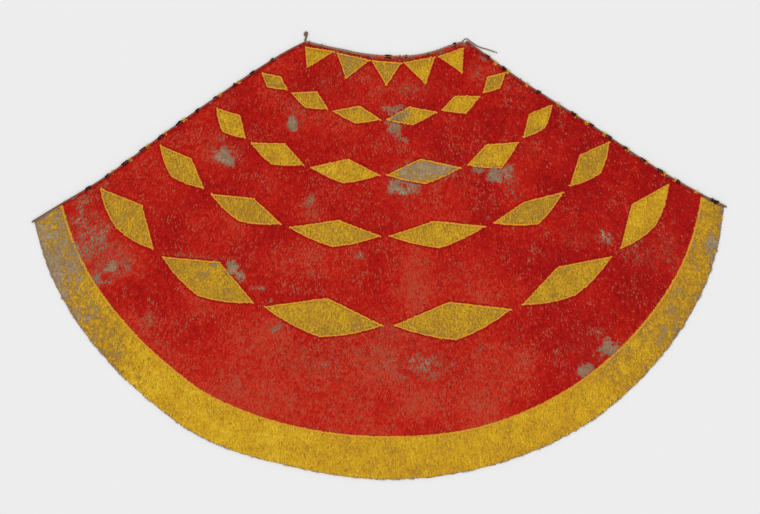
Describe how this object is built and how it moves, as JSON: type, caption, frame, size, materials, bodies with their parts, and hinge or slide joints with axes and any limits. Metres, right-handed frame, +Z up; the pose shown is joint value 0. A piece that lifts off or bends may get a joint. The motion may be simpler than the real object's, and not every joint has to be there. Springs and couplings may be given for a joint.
{
  "type": "feathered cloak",
  "caption": "Wide fan-shaped cloak of red feathers with rows of yellow lozenges and a yellow hem border, tied over a fibre net, laid flat with its neck ties free.",
  "frame": {"origin": "on the surface that the cloak lies on, under the middle of its box without the ties", "axes": "+Z up out of the feather side, +Y towards the neck, +X across the cloak to the side of the longer tie"},
  "size_m": [2.365, 1.5247, 0.01],
  "materials": {
    "net_fibre": "dry knotted plant fibre, matt",
    "red_feathers": "dense small feathers, soft sheen",
    "yellow_feathers": "dense small feathers, soft sheen",
    "edge_binding": "bound fibre cord with feather tufts, matt",
    "neck_fibre": "twisted fibre cord, matt"
  },
  "bodies": {
    "root": {"net": "net_fibre", "red_field": "red_feathers", "lozenge_r1_1": "yellow_feathers", "lozenge_r1_2": "yellow_feathers", "lozenge_r1_3": "yellow_feathers", "lozenge_r1_4": "yellow_feathers", "lozenge_r1_5": "yellow_feathers", "lozenge_r1_6": "yellow_feathers", "lozenge_r2_1": "yellow_feathers", "lozenge_r2_2": "yellow_feathers", "lozenge_r2_3": "yellow_feathers", "lozenge_r2_4": "yellow_feathers", "lozenge_r2_5": "yellow_feathers", "lozenge_r2_6": "yellow_feathers", "lozenge_r3_1": "yellow_feathers", "lozenge_r3_2": "yellow_feathers", "lozenge_r3_3": "yellow_feathers", "lozenge_r3_4": "yellow_feathers", "lozenge_r3_5": "yellow_feathers", "lozenge_r3_6": "yellow_feathers", "lozenge_r4_1": "yellow_feathers", "lozenge_r4_2": "yellow_feathers", "lozenge_r4_3": "yellow_feathers", "lozenge_r4_4": "yellow_feathers", "lozenge_r4_5": "yellow_feathers", "lozenge_r4_6": "yellow_feathers", "neck_triangle_1": "yellow_feathers", "neck_triangle_2": "yellow_feathers", "neck_triangle_3": "yellow_feathers", "neck_triangle_4": "yellow_feathers", "neck_triangle_5": "yellow_feathers", "hem_band": "yellow_feathers", "front_edge_left": "edge_binding", "front_edge_right": "edge_binding", "neck_cord": "neck_fibre", "neck_tie_left": "neck_fibre", "neck_knot_left": "neck_fibre", "neck_tie_right": "neck_fibre", "neck_knot_right": "neck_fibre"}
  },
  "joints": []
}
